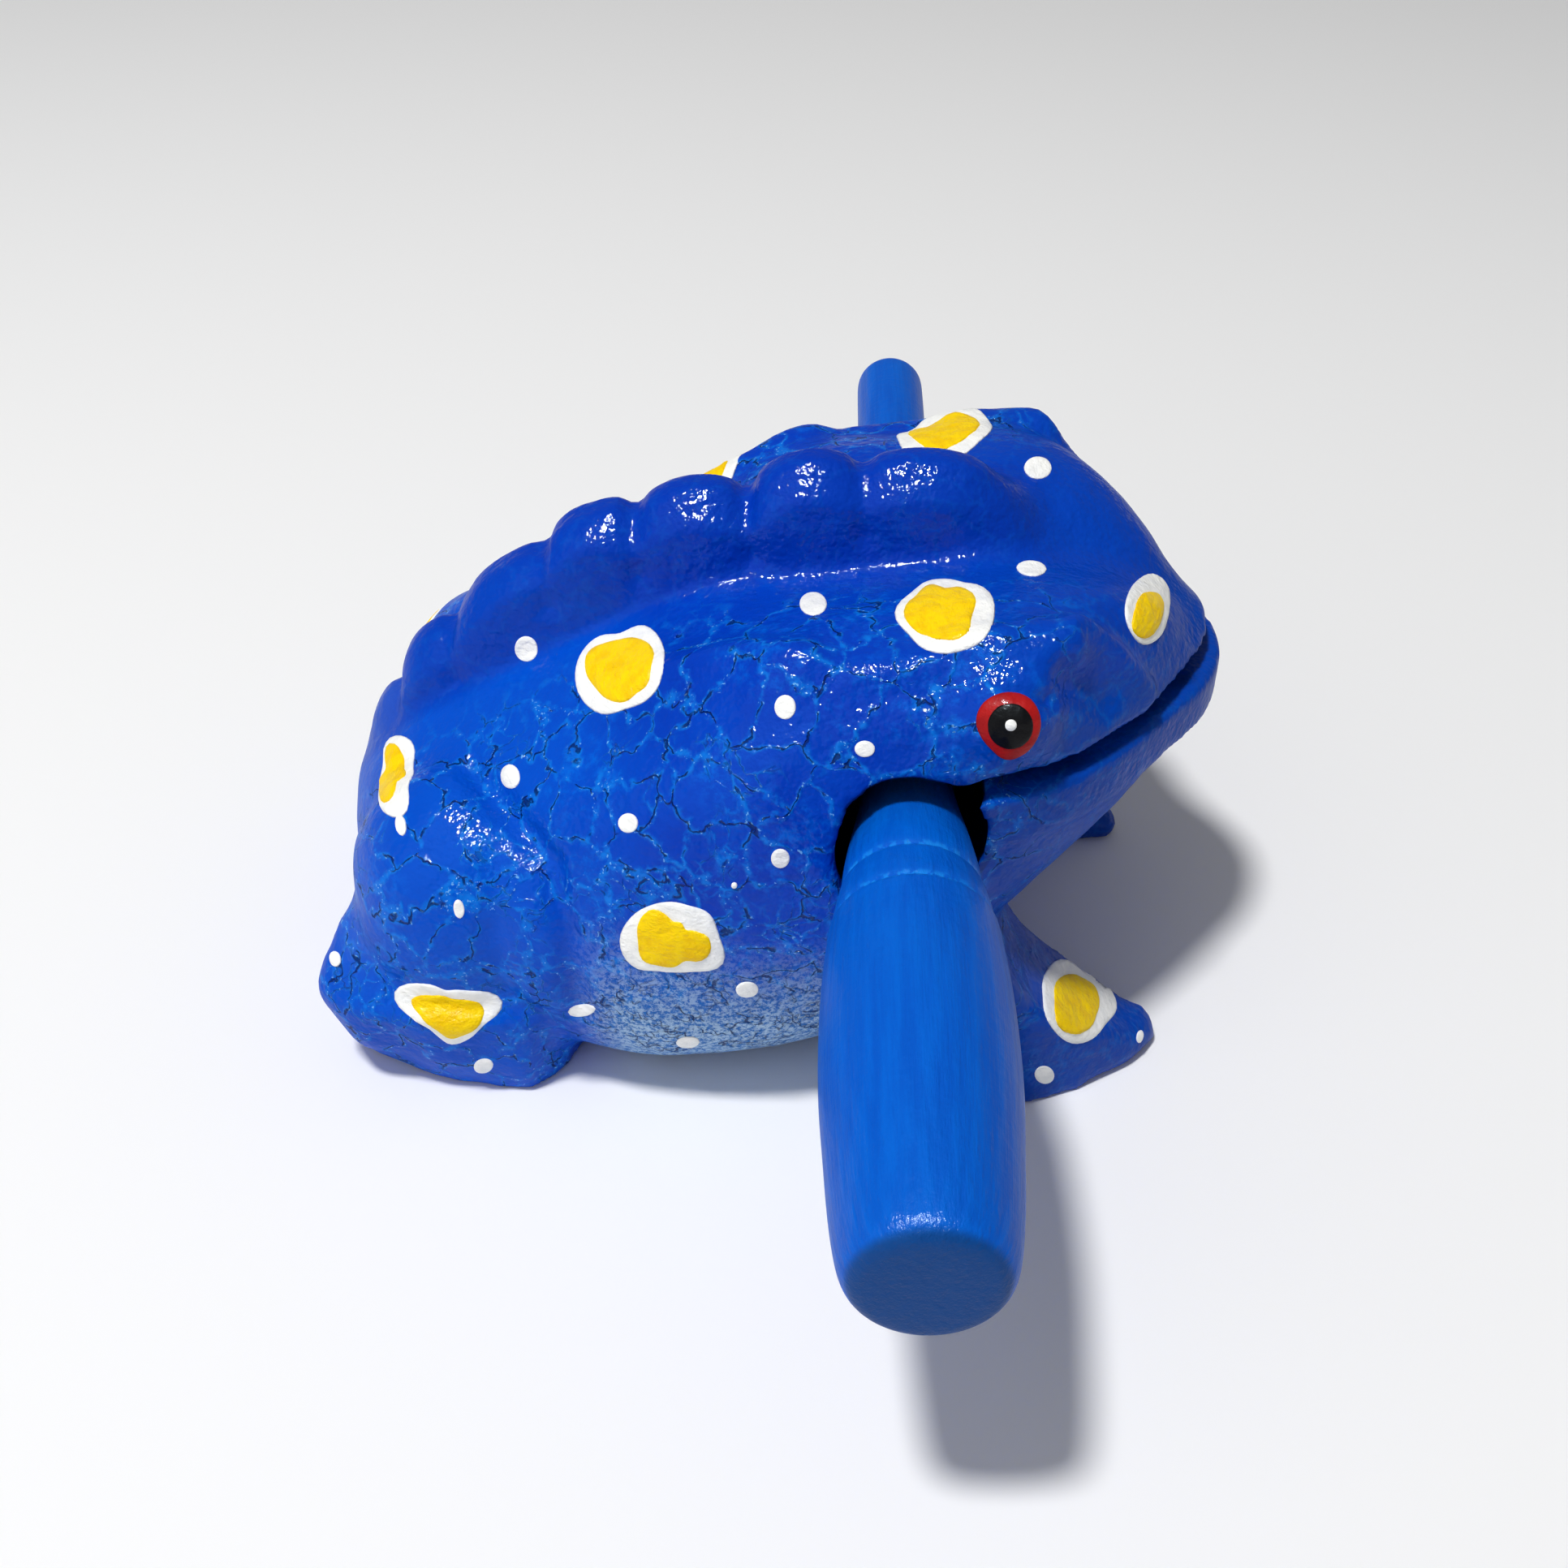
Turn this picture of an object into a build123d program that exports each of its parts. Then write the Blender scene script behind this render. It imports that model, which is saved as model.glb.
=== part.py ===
from build123d import *
import os

# Carved wooden frog guiro with its wooden scraper stick, in millimetres.
# +X points to the snout, +Y to the frog's left, +Z up. The origin is on the ground,
# in the plane of symmetry, halfway between the rump and the snout.

# ---- Driving dimensions -------------------------------------------------------------
body_length = 100.0       # rump to lower lip
body_width = 69.0         # across the belly
brow_height = 60.0        # ground to the top of the brows

fin_crest_thickness = 3.2  # across the scalloped crest of the back fin
fin_shoulder_thickness = 9.6
fin_foot_thickness = 12.0
fin_shoulder_drop = 3.4   # how far the fin's shoulder lies below its crest
fin_foot_drop = 11.0

brow_ridge_diameter = 6.0
brow_ridge_sink = 0.8     # how far the ridge is let into the back
eye_mound_diameter = 11.0
eye_mound_sink = 4.6      # how far the mound's centre lies inside the cheek

mouth_slit = 2.4          # height of the saw cut
lip_height = 6.0          # thickness of the lower lip's rim
mouth_drop = 6.5          # from the saw cut down to the axis of the hole

chamber_length = 29.0     # sound chamber behind the hole, along the body
chamber_width = 38.0
chamber_floor = 18.0      # wood left under the chamber
chamber_corner = 8.0      # radius of the gouged corners

stick_length = 160.5
rod_diameter = 9.4
rod_tip_round = 2.0
neck_diameter = 13.8      # where the handle rests in the mouth of the hole
handle_diameter = 18.2
handle_end_diameter = 12.6
handle_length = 49.7      # butt end to the neck
handle_taper = 14.0       # from the neck down to the bare rod
groove_diameter = 0.7     # two scored rings beside the neck
groove_spacing = 5.0

hole_clearance = 1.5      # radial, between the neck and the hole
rest_gap = 0.3            # under the neck where it lies in the hole

# ---- Proportions of the carving -----------------------------------------------------
# Places on the carving are given in percent: x of the length (-50 rump, +50 snout),
# y of the width (0 middle, 50 side) and z of the brow height (0 ground, 100 brow).


def along(percent):
    return percent * body_length / 100


def across(percent):
    return percent * body_width / 100


def up(percent):
    return percent * brow_height / 100


mouth_z = up(75)
hole_x = along(14.9)
hole_z = mouth_z - mouth_drop
hole_radius = neck_diameter / 2 + hole_clearance
rim_y = across(48)

# Each trunk section: x, top, then shoulder, flank, waist and keel as (y, z), and bottom.
trunk_sections = [
    (-47.5, 47, (9, 45), (15, 38), (16, 32), (11, 25), 21),
    (-43.0, 56, (15, 53), (26, 44), (29, 33), (21, 19), 12),
    (-35.0, 65, (18, 60.5), (33, 52), (39, 37), (30, 14), 1),
    (-22.0, 77, (23, 71), (37, 62), (46, 43), (41, 13), -8),
    (-8.0, 87.5, (27, 84.5), (42, 75), (50, 50), (43, 11), -8),
    (6.0, 93.5, (32, 93.5), (45, 80), (50, 53), (42, 16), -7),
    (18.0, 96, (33, 95), (45, 82), (47, 61), (36, 24), 2),
    (27.0, 97, (31, 97), (41, 85), (42, 70), (33, 41), 32),
    (35.0, 94, (22, 95), (32, 83), (34, 70), (28, 53), 45),
    (42.0, 87, (13, 86.5), (20, 79), (22, 72), (18, 60), 54),
    (48.0, 79, (5, 77.5), (9, 74), (9, 71), (7, 62.5), 59),
]

# Crest of the back fin, front to back: the foot of the fin, then for each lobe
# its top and the notch behind it, as (x, z).
fin_front = (29, 95)
fin_lobes = [
    ((15.5, 110), (9.6, 107)),
    ((3.5, 109.5), (-2.4, 102)),
    ((-9.0, 104), (-14.5, 98.5)),
    ((-19.0, 99.5), (-24.5, 92)),
    ((-30.4, 87), (-35.5, 75)),
    ((-39.5, 71.5), (-42.3, 61)),
    ((-44.7, 57.5), (-46.7, 50)),
]
fin_root = [(-40, 42), (0, 75), (24, 84)]

# Outlines of the feet on the ground and higher up, as (x, y) at a height z.
hind_foot_levels = [
    (0, [(-49.5, 27), (-46, 37), (-37, 42.5), (-27, 44.5), (-23, 38), (-21, 29), (-24, 16), (-44, 14)]),
    (21, [(-50, 39), (-46, 44), (-37, 46.5), (-26, 45.5), (-22, 40), (-20, 31), (-24, 16), (-46, 16)]),
    (33, [(-48, 33), (-43, 38), (-35, 40), (-27, 39), (-23, 35), (-22, 28), (-25, 18), (-42, 18)]),
]
front_foot_outline = [
    (14, 44), (24, 45.5), (30, 44), (36, 40.5), (43, 34), (46, 29), (44.5, 24), (36, 23), (14, 23),
]
front_foot_side = [(12, 0), (46, 0), (45, 5), (41, 8), (35, 15.5), (29, 25), (24.5, 38), (14, 50)]

# Lower lip seen from above, from the mouth corner to the tip.
lip_outline = [(15, 47), (24, 44), (31, 39), (37, 31), (43, 21), (48, 11), (50, 0)]


# Barrel of the handle: share of its length from the butt, and share of its diameter.
handle_shape = [(0.035, 0.82), (0.13, 0.885), (0.27, 0.93), (0.45, 0.998), (0.65, 0.98), (0.82, 0.89)]


# ---- Frog body ----------------------------------------------------------------------
def trunk_outline(top, half, bottom):
    """Closed outline of one section from its middle points and its half profile."""
    left = [(across(y), up(z)) for y, z in half]
    right = [(-y, z) for y, z in reversed(left)]
    return [(0, up(top))] + left + [(0, up(bottom))] + right


def spheroid(centre, radius, half_height):
    """Upright spheroid."""
    with BuildPart() as body:
        with BuildSketch(Plane(origin=centre, x_dir=(1, 0, 0), z_dir=(0, -1, 0))):
            Ellipse(radius, half_height)
            Rectangle(
                radius,
                2 * half_height,
                align=(Align.MAX, Align.CENTER),
                mode=Mode.SUBTRACT,
            )
        revolve(axis=Axis(centre, (0, 0, 1)))
    return body.part


def round_bar(start, end, diameter):
    """Straight round bar with ball ends."""
    run = Vector(*end) - Vector(*start)
    with BuildPart() as bar:
        with BuildSketch(Plane(origin=start, z_dir=run)):
            Circle(diameter / 2)
        extrude(amount=run.length)
        with Locations(start, end):
            Sphere(diameter / 2)
    return bar.part


def fin_outline(drop):
    """Scalloped side view of the fin, with its crest lowered by drop."""
    front = (along(fin_front[0]), up(fin_front[1]) - drop)
    with BuildSketch() as outline:
        with BuildLine():
            notch = front
            for lobe_top, lobe_notch in fin_lobes:
                top = (along(lobe_top[0]), up(lobe_top[1]) - drop)
                end = (along(lobe_notch[0]), up(lobe_notch[1]) - drop)
                ThreePointArc(notch, top, end)
                notch = end
            Polyline(notch, *[(along(x), up(z) - drop) for x, z in fin_root], front)
        make_face()
    return outline.sketch


def back_fin():
    """Fin with a narrow scalloped crest, a wavy shoulder and a thicker foot."""
    levels = [
        (fin_crest_thickness / 2, 0),
        (fin_shoulder_thickness / 2, fin_shoulder_drop),
        (fin_foot_thickness / 2, fin_foot_drop),
    ]
    with BuildPart() as fin:
        for half_thickness, drop in levels[::-1]:
            with BuildSketch(Plane.XZ.offset(-half_thickness)):
                add(fin_outline(drop))
        for half_thickness, drop in levels:
            with BuildSketch(Plane.XZ.offset(half_thickness)):
                add(fin_outline(drop))
        loft(ruled=True)
    return fin.part


def hind_foot(side):
    """Sole and heel, from the ground up into the thigh."""
    with BuildPart() as foot:
        for z, outline in hind_foot_levels:
            with BuildSketch(Plane.XY.offset(up(z))):
                with BuildLine():
                    Polyline(*[(along(x), side * across(y)) for x, y in outline], close=True)
                make_face()
        loft(ruled=True)
    return foot.part


def front_foot(side):
    """Forearm and foot, wedge shaped seen from the side."""
    with BuildPart() as foot:
        with BuildSketch():
            with BuildLine():
                plan = [(along(x), side * across(y)) for x, y in front_foot_outline]
                Polyline(*plan, close=True)
            make_face()
        extrude(amount=up(50))
        with BuildSketch(Plane.XZ):
            with BuildLine():
                Polyline(*[(along(x), up(z)) for x, z in front_foot_side], close=True)
            make_face()
        extrude(amount=across(50), both=True, mode=Mode.INTERSECT)
    return foot.part


def lower_lip():
    """Rim of the lower jaw under the saw cut."""
    left = [(along(x), across(y)) for x, y in lip_outline]
    right = [(x, -y) for x, y in reversed(left[:-1])]
    with BuildPart() as lip:
        with BuildSketch(Plane.XY.offset(mouth_z - mouth_slit / 2 - lip_height)):
            with BuildLine():
                Spline(*left, *right)
                Line(right[-1], left[0])
            make_face()
        extrude(amount=lip_height)
    return lip.part


def sound_chamber():
    """Hollow gouged behind the hole."""
    with BuildPart() as hollow:
        with BuildSketch(Plane.XY.offset(chamber_floor)):
            with Locations((hole_x, 0)):
                Rectangle(chamber_length, chamber_width, align=(Align.MAX, Align.CENTER))
        extrude(amount=mouth_z - chamber_floor)
        fillet(hollow.edges(), chamber_corner)
    return hollow.part


with BuildPart() as frog_body:
    # Trunk and head.
    for x, top, *half, bottom in trunk_sections:
        with BuildSketch(Plane(origin=(along(x), 0, 0), x_dir=(0, 1, 0), z_dir=(1, 0, 0))):
            with BuildLine():
                Spline(*trunk_outline(top, half, bottom), periodic=True)
            make_face()
    loft()

    add(back_fin())
    add(lower_lip())
    for side in (1, -1):
        add(spheroid((along(-33.5), side * across(27), up(35)), along(13), up(26)))
        add(hind_foot(side))
        add(front_foot(side))

        # Ridge from the shoulder to the brow, and the mound that carries the eye.
        ridge_drop = brow_ridge_diameter / 2 + brow_ridge_sink
        shoulder = (along(1), side * across(35), up(93) - ridge_drop)
        brow = (along(30), side * across(33), up(101) - ridge_drop)
        add(round_bar(shoulder, brow, brow_ridge_diameter))
        with Locations((along(24), side * (across(44.5) - eye_mound_sink), up(86))):
            Sphere(eye_mound_diameter / 2)

    # Flat underside.
    Box(
        2 * body_length,
        2 * body_width,
        brow_height,
        align=(Align.CENTER, Align.CENTER, Align.MAX),
        mode=Mode.SUBTRACT,
    )

    # Sound chamber, hole through both mouth corners, and mouth slit.
    add(sound_chamber(), mode=Mode.SUBTRACT)
    with BuildSketch(Plane.XZ):
        with Locations((hole_x, hole_z)):
            Circle(hole_radius)
    extrude(amount=body_width, both=True, mode=Mode.SUBTRACT)
    with Locations((hole_x, 0, mouth_z)):
        Box(
            body_length,
            2 * body_width,
            mouth_slit,
            align=(Align.MIN, Align.CENTER, Align.CENTER),
            mode=Mode.SUBTRACT,
        )
frog_body.part.label = "frog_body"


# ---- Stick --------------------------------------------------------------------------
stick_z = hole_z - hole_radius + neck_diameter / 2 + rest_gap
neck_y = -rim_y - 1.5
butt_y = neck_y - handle_length
tip_y = butt_y + stick_length
rod_start_y = neck_y + handle_taper
cone_slope = (neck_diameter - rod_diameter) / 2 / handle_taper
stick_axis = Axis((hole_x, 0, stick_z), (0, 1, 0))


def beside_axis(radius, y):
    return (hole_x + radius, y)


with BuildPart() as stick:
    with BuildSketch(Plane.XY.offset(stick_z)):
        with BuildLine():
            butt_centre = beside_axis(0, butt_y)
            butt_edge = beside_axis(handle_end_diameter / 2, butt_y)
            barrel = [
                beside_axis(handle_diameter / 2 * girth, butt_y + handle_length * place)
                for place, girth in handle_shape
            ]
            neck = beside_axis(neck_diameter / 2, neck_y)
            rod_start = beside_axis(rod_diameter / 2, rod_start_y)
            rod_end = beside_axis(rod_diameter / 2, tip_y)
            Polyline(butt_centre, butt_edge, barrel[0])
            Spline(*barrel, neck, tangents=((0.25, 1), (-0.2, 1)))
            Polyline(neck, rod_start, rod_end, beside_axis(0, tip_y), butt_centre)
        make_face()
    revolve(axis=stick_axis)
    with BuildSketch(Plane.XY.offset(stick_z)):
        for distance in (0, groove_spacing):
            cone_radius = neck_diameter / 2 - cone_slope * distance
            with Locations(beside_axis(cone_radius, neck_y + distance)):
                Circle(groove_diameter / 2)
    revolve(axis=stick_axis, mode=Mode.SUBTRACT)
    fillet(stick.faces().sort_by(Axis.Y)[-1].edges(), rod_tip_round)
stick.part.label = "stick"


# ---- Files --------------------------------------------------------------------------
os.makedirs("parts", exist_ok=True)
for piece in (frog_body, stick):
    export_step(piece.part, f"parts/{piece.part.label}.step")
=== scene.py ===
import math

import bmesh
import bpy
import numpy as np
from mathutils import Matrix, Vector, noise
from mathutils.bvhtree import BVHTree


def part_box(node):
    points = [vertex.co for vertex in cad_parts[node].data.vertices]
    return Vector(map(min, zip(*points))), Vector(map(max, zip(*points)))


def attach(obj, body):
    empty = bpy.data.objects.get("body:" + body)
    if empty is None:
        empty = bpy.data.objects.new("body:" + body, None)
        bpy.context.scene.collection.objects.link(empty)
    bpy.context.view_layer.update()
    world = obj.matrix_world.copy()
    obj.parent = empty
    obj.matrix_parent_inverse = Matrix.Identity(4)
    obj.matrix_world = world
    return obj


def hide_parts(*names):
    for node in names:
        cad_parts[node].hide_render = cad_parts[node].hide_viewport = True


# A carved wooden frog guiro, painted blue with fried-egg spots, and its turned stick.
# Everything is in metres in the row frame: +X to the snout, +Y to the frog's left, +Z up.

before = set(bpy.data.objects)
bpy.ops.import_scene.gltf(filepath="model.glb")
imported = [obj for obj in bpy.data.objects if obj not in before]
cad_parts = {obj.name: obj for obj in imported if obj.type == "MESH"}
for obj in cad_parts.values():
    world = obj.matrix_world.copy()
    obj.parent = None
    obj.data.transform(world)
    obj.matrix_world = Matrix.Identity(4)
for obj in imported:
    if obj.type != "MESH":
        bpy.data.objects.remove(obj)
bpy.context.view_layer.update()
MM = 0.001

body_low, body_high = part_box("frog_body")
stick_low, stick_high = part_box("stick")


def place(x, y, z):
    """Point on the frog: x in percent of its length, y of its width, z of its height."""
    size = body_high - body_low
    middle = (body_low + body_high) / 2
    return Vector((
        middle.x + size.x * x / 100,
        middle.y + size.y * y / 100,
        body_low.z + size.z * z / 100,
    ))


# ---- Camera -----------------------------------------------------------------------------
# It stands at the frog's right side, above it, and looks down the handle of the stick.
VIEW_PLACE = Vector((5.8, -175.05, 157.77)) * MM
VIEW_TURN = math.radians(1.44)
VIEW_TILT = math.radians(37.83)
VIEW_LENS = 42.72
SENSOR_WIDTH = 36
NEAREST_SEEN = 0.01


def add_camera():
    lens = bpy.data.cameras.new("camera")
    lens.lens = VIEW_LENS
    lens.sensor_width = SENSOR_WIDTH
    lens.clip_start = NEAREST_SEEN
    camera = bpy.data.objects.new("camera", lens)
    bpy.context.scene.collection.objects.link(camera)
    back = Vector((
        math.sin(VIEW_TURN) * math.cos(VIEW_TILT),
        -math.cos(VIEW_TURN) * math.cos(VIEW_TILT),
        math.sin(VIEW_TILT),
    ))
    right = Vector((math.cos(VIEW_TURN), math.sin(VIEW_TURN), 0))
    axes = Matrix((right, back.cross(right), back)).transposed().to_4x4()
    camera.matrix_world = Matrix.Translation(VIEW_PLACE) @ axes
    bpy.context.scene.camera = camera


# ---- Mesh helpers -------------------------------------------------------------------------


def new_piece(name, bm, smooth=True):
    """Object at the origin that holds the bmesh."""
    mesh = bpy.data.meshes.new(name)
    bm.to_mesh(mesh)
    bm.free()
    for face in mesh.polygons:
        face.use_smooth = smooth
    piece = bpy.data.objects.new(name, mesh)
    bpy.context.scene.collection.objects.link(piece)
    return piece


def apply_modifiers(piece):
    """Replaces the piece's mesh with its modified one."""
    graph = bpy.context.evaluated_depsgraph_get()
    mesh = bpy.data.meshes.new_from_object(piece.evaluated_get(graph))
    piece.modifiers.clear()
    piece.data = mesh
    for face in mesh.polygons:
        face.use_smooth = True


def points_of(mesh):
    points = np.zeros(len(mesh.vertices) * 3)
    mesh.vertices.foreach_get("co", points)
    return points.reshape(-1, 3)


def normals_of(mesh):
    normals = np.zeros(len(mesh.vertices) * 3)
    mesh.vertices.foreach_get("normal", normals)
    return normals.reshape(-1, 3)


def set_points(mesh, points):
    mesh.vertices.foreach_set("co", points.ravel())
    mesh.update()


def soft_falloff(distance, radius):
    """1 at the middle, 0 at the radius, smooth at both ends."""
    t = np.clip(1 - distance / radius, 0, 1)
    return t * t * (3 - 2 * t)


def distance_to_path(points, path):
    """Distance from each point to a chain of straight runs."""
    nearest = np.full(len(points), 1e9)
    for start, end in zip(path[:-1], path[1:]):
        run = np.array(end - start)
        share = np.clip((points - np.array(start)) @ run / (run @ run), 0, 1)
        offset = points - (np.array(start) + share[:, None] * run)
        nearest = np.minimum(nearest, np.linalg.norm(offset, axis=1))
    return nearest


def relax(piece, chosen, repeats, factor=0.5):
    """Moves the chosen vertices towards the middle of their neighbours."""
    mesh = piece.data
    points = points_of(mesh)
    edges = np.zeros(len(mesh.edges) * 2, dtype=int)
    mesh.edges.foreach_get("vertices", edges)
    edges = edges.reshape(-1, 2)
    edges = edges[chosen[edges].any(axis=1)]
    ends = np.concatenate((edges[:, 0], edges[:, 1]))
    others = np.concatenate((edges[:, 1], edges[:, 0]))
    kept = chosen[ends]
    ends, others = ends[kept], others[kept]
    inner, ends = np.unique(ends, return_inverse=True)
    count = np.bincount(ends)
    for _ in range(repeats):
        for axis in range(3):
            middle = np.bincount(ends, points[others, axis]) / count
            points[inner, axis] += factor * (middle - points[inner, axis])
    set_points(mesh, points)


# ---- Frog body ------------------------------------------------------------------------------
VOXEL = 0.67 * MM
WELD = 0.002 * MM
FIRST_PASSES = 3
LAST_PASSES = 2

# Places are in percent, as place() reads them, on the frog's left side and mirrored.
# Edges worn round: middle, radius in mm, passes.
WORN = [
    ((30, 33, 91), 6.5, 60),
    ((34, 28, 86), 5.0, 25),
    ((1, 35, 84), 7.0, 60),
    ((-33.5, 27, 57), 10.0, 60),
    ((24, 43, 80), 7.5, 20),
    ((25, 4, 88), 7.0, 25),
    ((-49, 34, 19), 8.0, 12),
    ((-46, 36, 6), 7.0, 10),
    ((-24, 44, 12), 6.0, 12),
    ((40, 34, 8), 7.0, 10),
    ((44, 28, 4), 5.0, 12),
]

# Knife strokes: a path, its half width and its height in mm, negative for a cut.
STROKES = [
    # Front edge of the thigh, from the back down to the hind foot.
    ([(-32, 25, 57), (-26, 36, 54), (-22, 41, 50), (-20, 45, 39), (-20, 46, 22)], 2.6, -1.3),
    ([(-36, 27, 54), (-29, 38, 49), (-25, 44, 40), (-25, 46, 26)], 5.0, 0.8),
    # Crease between the shank and the hind foot, and the hollow above the heel.
    ([(-47, 38, 20), (-36, 44, 22), (-22, 45, 20)], 1.6, -0.5),
    ([(-47, 26, 36), (-44, 33, 34)], 5.0, -0.8),
    # Lid over the eye and the fold behind it.
    ([(19.2, 44.5, 80), (20.2, 43.6, 83), (22.8, 41.5, 86), (26.3, 41.5, 85), (28.6, 40, 82)],
     1.3, -1.5),
    ([(18, 42, 86), (22.5, 38.5, 90), (28, 37, 88)], 2.4, 0.5),
    # Edge from the brow down to the lip, and the hollow cheek behind it.
    ([(31, 30, 89), (35, 27.5, 81), (38.5, 25, 73)], 2.4, 1.3),
    ([(29.5, 36, 84), (33.5, 31.5, 76)], 3.4, -1.1),
    # Ridge from the shoulder to the brow.
    ([(-12, 26, 76), (-3, 29, 80.5), (5, 34, 85)], 3.0, 0.7),
    # Fullness of the heel.
    ([(-48, 34, 19), (-45, 38, 12)], 6.0, 0.9),
]
# Places pulled in one direction: a path, its half width and the pull in mm.
GRABS = [
    # Corner of the jaw and rear rim of the hole, close to the stick.
    ([(23.2, 46, 64), (23.6, 45, 52)], 3.6, (-1.3, 0, 0)),
    ([(6.6, 47, 64), (6.4, 47, 52)], 3.2, (0.8, 0, 0)),
    # Corner of the jaw under the saw cut, drawn back to the stick.
    ([(24.5, 44, 61), (24.0, 43, 50)], 3.0, (-0.8, 0, 0)),
    # Shoulders and brows stand a little prouder, the rear of the fin a little lower.
    ([(-15, 25, 75), (-6, 29, 80), (2, 33, 84.5)], 7.0, (0, 0, 1.3)),
    ([(20, 33, 91), (30.5, 33, 91)], 5.0, (0, 0, 1.0)),
    ([(-34, 0, 71), (-28, 0, 80), (-20, 0, 89)], 5.0, (0, 0, -0.45)),
    # Sole of the hind foot.
    ([(-47, 36, 0), (-37, 42, 0), (-27, 44, 0)], 6.0, (0.3, -0.9, 0)),
]
# Notches between the lobes of the fin, as (x, z), cut down its sides.
FIN_NOTCHES = [(9.6, 97), (-2.4, 93), (-14.5, 89), (-24.5, 83), (-35.5, 68), (-42.3, 55)]
STROKES += [([(x, 1.5, z), (x + 0.6, 7, z - 8)], 2.2, -0.75) for x, z in FIN_NOTCHES]
# The chisel's waves: their height and span in mm, and a smaller wave on top of them.
CHISEL_WAVE = 0.16
CHISEL_SPAN = 7.0
SMALL_WAVE = 0.5
TIMES_FINER = 2.3


def chisel_waves(piece):
    """Slight unevenness of a surface cut by hand."""
    points = points_of(piece.data)
    spots = [Vector(point) / (CHISEL_SPAN * MM) for point in points]
    waves = np.array([
        noise.noise(spot) + SMALL_WAVE * noise.noise(spot * TIMES_FINER) for spot in spots
    ])
    points += normals_of(piece.data) * (waves * CHISEL_WAVE * MM)[:, None]
    set_points(piece.data, points)


def both_sides(piece, path, width):
    """Left side, then right: the side, the piece's points and their weights near the path."""
    for side in (1, -1):
        points = points_of(piece.data)
        run = [place(x, side * y, z) for x, y, z in path]
        yield side, points, soft_falloff(distance_to_path(points, run), width * MM)


def carved_body():
    """The frog's block as it leaves the knife: the CAD shape with softened cuts."""
    bm = bmesh.new()
    bm.from_mesh(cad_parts["frog_body"].data)
    bmesh.ops.remove_doubles(bm, verts=bm.verts, dist=WELD)
    piece = new_piece("frog_carving", bm)
    remesh = piece.modifiers.new("fuse", "REMESH")
    remesh.mode = "VOXEL"
    remesh.voxel_size = VOXEL
    apply_modifiers(piece)
    everywhere = np.ones(len(piece.data.vertices), dtype=bool)
    relax(piece, everywhere, FIRST_PASSES)
    for (x, y, z), radius, passes in WORN:
        for side in (1, -1):
            away = np.linalg.norm(points_of(piece.data) - np.array(place(x, side * y, z)), axis=1)
            relax(piece, away < radius * MM, passes)
    for path, width, height in STROKES:
        for _, points, weight in both_sides(piece, path, width):
            points += normals_of(piece.data) * (weight * height * MM)[:, None]
            set_points(piece.data, points)
    for path, width, (x_pull, y_pull, z_pull) in GRABS:
        for side, points, weight in both_sides(piece, path, width):
            points += weight[:, None] * np.array((x_pull, side * y_pull, z_pull)) * MM
            set_points(piece.data, points)
    chisel_waves(piece)
    relax(piece, everywhere, LAST_PASSES)
    set_points(piece.data, np.clip(points_of(piece.data), body_low, body_high))
    return piece


# ---- Stick -----------------------------------------------------------------------------------
# Profile from the butt: distance in mm and radius in mm. The last point is where the rod starts.
STICK_PROFILE = [
    (0.0, 0.02), (0.0, 3.2), (0.05, 5.5), (0.35, 6.3), (1.3, 7.15), (3.2, 7.62), (6.5, 8.05),
    (10, 8.34), (14, 8.6), (18.5, 8.95), (23, 9.08), (28, 9.05), (33, 8.9), (37, 8.6),
    (39.6, 8.36), (40.5, 8.3), (40.8, 8.1), (41.1, 7.6), (41.5, 7.72), (42.0, 7.95),
    (43.6, 7.72), (45.2, 7.42), (46.1, 7.26), (46.4, 7.05), (46.65, 6.65), (47.0, 6.8),
    (47.5, 7.0), (49.7, 6.85), (54, 6.2), (57.0, 5.65), (60.0, 5.15), (62.8, 4.78), (66, 4.7),
]
SCORED_RINGS = (41.1, 46.65)
# Rounded tip: distance before the end in mm and share of the rod's radius.
ROD_TIP = [(3.0, 1), (1.6, 0.985), (0.4, 0.86), (0, 0.62), (0, 0.3)]
TIP_CENTRE = 0.02
ROD_RINGS = (0.5, 0.6, 0.7, 0.8, 0.9)
TURNED_SIDES = 32
TURNED_WELD = 0.005 * MM


def turned_stick():
    """Barrel handle, scored neck and rod, spun about the stick's axis."""
    middle = (stick_low + stick_high) / 2
    length = stick_high.y - stick_low.y
    bm = bmesh.new()
    profile = [(d * MM, r * MM) for d, r in STICK_PROFILE]
    rod = profile[-1][1]
    profile += [(length * share, rod) for share in ROD_RINGS]
    profile += [(length - before * MM, rod * share) for before, share in ROD_TIP]
    profile.append((length, TIP_CENTRE * MM))
    verts = [
        bm.verts.new((middle.x + radius, stick_low.y + distance, middle.z))
        for distance, radius in profile
    ]
    edges = [bm.edges.new(pair) for pair in zip(verts[:-1], verts[1:])]
    bmesh.ops.spin(
        bm, geom=verts + edges, cent=middle, axis=(0, 1, 0), angle=math.tau, steps=TURNED_SIDES,
        use_merge=True,
    )
    bmesh.ops.remove_doubles(bm, verts=bm.verts, dist=TURNED_WELD)
    rims = [edge for edge in bm.edges if edge.is_boundary]
    bmesh.ops.holes_fill(bm, edges=rims, sides=0)
    bmesh.ops.recalc_face_normals(bm, faces=bm.faces)
    piece = new_piece("turned_stick", bm)
    soften = piece.modifiers.new("soften", "SUBSURF")
    soften.levels = soften.render_levels = 2
    apply_modifiers(piece)
    return piece


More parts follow.
